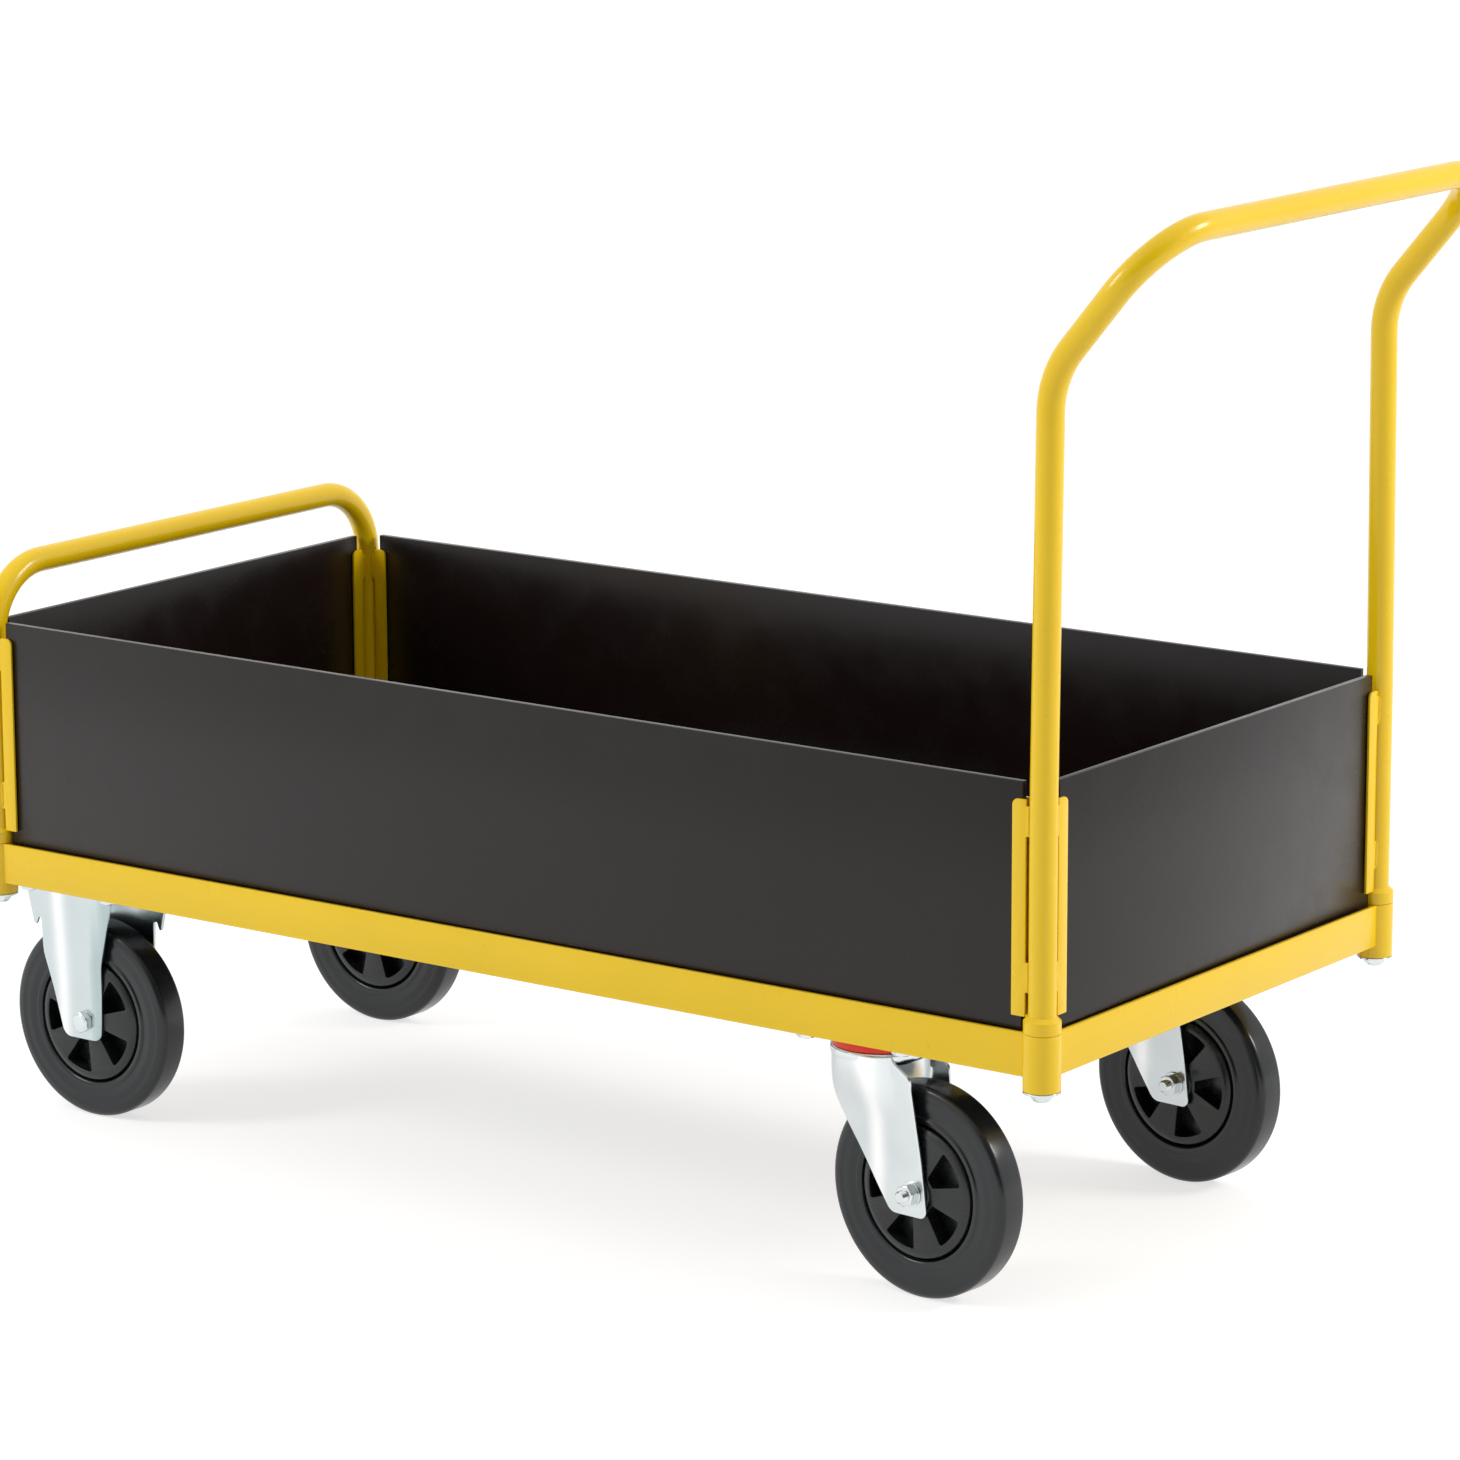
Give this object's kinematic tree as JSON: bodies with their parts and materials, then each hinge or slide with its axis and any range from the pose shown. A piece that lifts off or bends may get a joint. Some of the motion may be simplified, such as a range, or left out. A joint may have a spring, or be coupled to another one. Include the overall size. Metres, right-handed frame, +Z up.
{
  "type": "warehouse trolley",
  "caption": "Platform trolley with plywood sides in corner holders, a cranked tube push handle, a low end hoop, fixed casters at one end and swivel casters at the other.",
  "frame": {"origin": "on the floor, under the centre of the object's bounding box", "axes": "+X towards the push handle and the swivel casters, +Y to the right side, +Z up"},
  "size_m": [1.3924, 0.611, 1.0058],
  "materials": {
    "yellow_paint": "glossy yellow powder coat",
    "phenolic_ply": "plywood with a dark brown phenolic film and worn edges",
    "zinc": "bright zinc plate",
    "seal_red": "glossy red",
    "rubber": "matt black rubber",
    "black_plastic": "satin black",
    "bearing_steel": "ground steel"
  },
  "bodies": {
    "frame": {"deck_board": "phenolic_ply", "side_rail_left": "yellow_paint", "side_rail_right": "yellow_paint", "end_rail_hoop": "yellow_paint", "end_rail_handle": "yellow_paint", "corner_socket_hoop_left": "yellow_paint", "corner_socket_hoop_right": "yellow_paint", "corner_socket_handle_left": "yellow_paint", "corner_socket_handle_right": "yellow_paint", "caster_bar_hoop": "yellow_paint", "caster_bar_middle": "yellow_paint", "caster_bar_handle": "yellow_paint", "push_handle": "yellow_paint", "end_hoop": "yellow_paint", "panel_hoop_end": "phenolic_ply", "socket_washer_hoop_left": "zinc", "socket_washer_hoop_right": "zinc", "socket_washer_handle_left": "zinc", "socket_washer_handle_right": "zinc", "socket_bolt_hoop_left": "zinc", "socket_bolt_hoop_right": "zinc", "socket_bolt_handle_left": "zinc", "socket_bolt_handle_right": "zinc", "fixed_fork_left": "zinc", "fixed_axle_bolt_left": "zinc", "fixed_axle_nut_left": "zinc", "swivel_plate_left": "zinc", "ball_race_left": "bearing_steel", "kingpin_left": "zinc", "fixed_fork_right": "zinc", "fixed_axle_bolt_right": "zinc", "fixed_axle_nut_right": "zinc", "swivel_plate_right": "zinc", "ball_race_right": "bearing_steel", "kingpin_right": "zinc"},
    "swivel_left": {"swivel_fork_left": "zinc", "dust_seal_left": "seal_red", "swivel_axle_bolt_left": "zinc", "swivel_axle_nut_left": "zinc"},
    "swivel_right": {"swivel_fork_right": "zinc", "dust_seal_right": "seal_red", "swivel_axle_bolt_right": "zinc", "swivel_axle_nut_right": "zinc"},
    "wheel_hoop_left": {"tyre_hoop_left": "rubber", "rim_hoop_left": "black_plastic", "wheel_bearing_hoop_left": "bearing_steel"},
    "wheel_handle_left": {"tyre_handle_left": "rubber", "rim_handle_left": "black_plastic", "wheel_bearing_handle_left": "bearing_steel"},
    "wheel_hoop_right": {"tyre_hoop_right": "rubber", "rim_hoop_right": "black_plastic", "wheel_bearing_hoop_right": "bearing_steel"},
    "wheel_handle_right": {"tyre_handle_right": "rubber", "rim_handle_right": "black_plastic", "wheel_bearing_handle_right": "bearing_steel"},
    "side_panel_left": {"panel_left": "phenolic_ply"},
    "side_panel_right": {"panel_right": "phenolic_ply"},
    "end_panel": {"panel_handle_end": "phenolic_ply"}
  },
  "joints": [
    {"name": "swivel_left_turn", "type": "hinge", "parent": "frame", "child": "swivel_left", "pos_m": [0.35826, -0.2225, 0.22], "axis": [0, 0, 1], "continuous": true},
    {"name": "swivel_right_turn", "type": "hinge", "parent": "frame", "child": "swivel_right", "pos_m": [0.35826, 0.2225, 0.22], "axis": [0, 0, 1], "continuous": true},
    {"name": "wheel_handle_left_roll", "type": "hinge", "parent": "swivel_left", "child": "wheel_handle_left", "pos_m": [0.41404, -0.22738, 0.1], "axis": [0.0872, 0.9962, 0], "continuous": true},
    {"name": "wheel_hoop_left_roll", "type": "hinge", "parent": "frame", "child": "wheel_hoop_left", "pos_m": [-0.59624, -0.2225, 0.1], "axis": [0, 1, 0], "continuous": true},
    {"name": "wheel_handle_right_roll", "type": "hinge", "parent": "swivel_right", "child": "wheel_handle_right", "pos_m": [0.41404, 0.21762, 0.1], "axis": [0.0872, 0.9962, 0], "continuous": true},
    {"name": "wheel_hoop_right_roll", "type": "hinge", "parent": "frame", "child": "wheel_hoop_right", "pos_m": [-0.59624, 0.2225, 0.1], "axis": [0, 1, 0], "continuous": true},
    {"name": "side_panel_left_lift", "type": "slide", "parent": "frame", "child": "side_panel_left", "axis": [0, 0, 1], "range_m": [0, 0.23]},
    {"name": "side_panel_right_lift", "type": "slide", "parent": "frame", "child": "side_panel_right", "axis": [0, 0, 1], "range_m": [0, 0.23]},
    {"name": "end_panel_lift", "type": "slide", "parent": "frame", "child": "end_panel", "axis": [0, 0, 1], "range_m": [0, 0.23]}
  ]
}
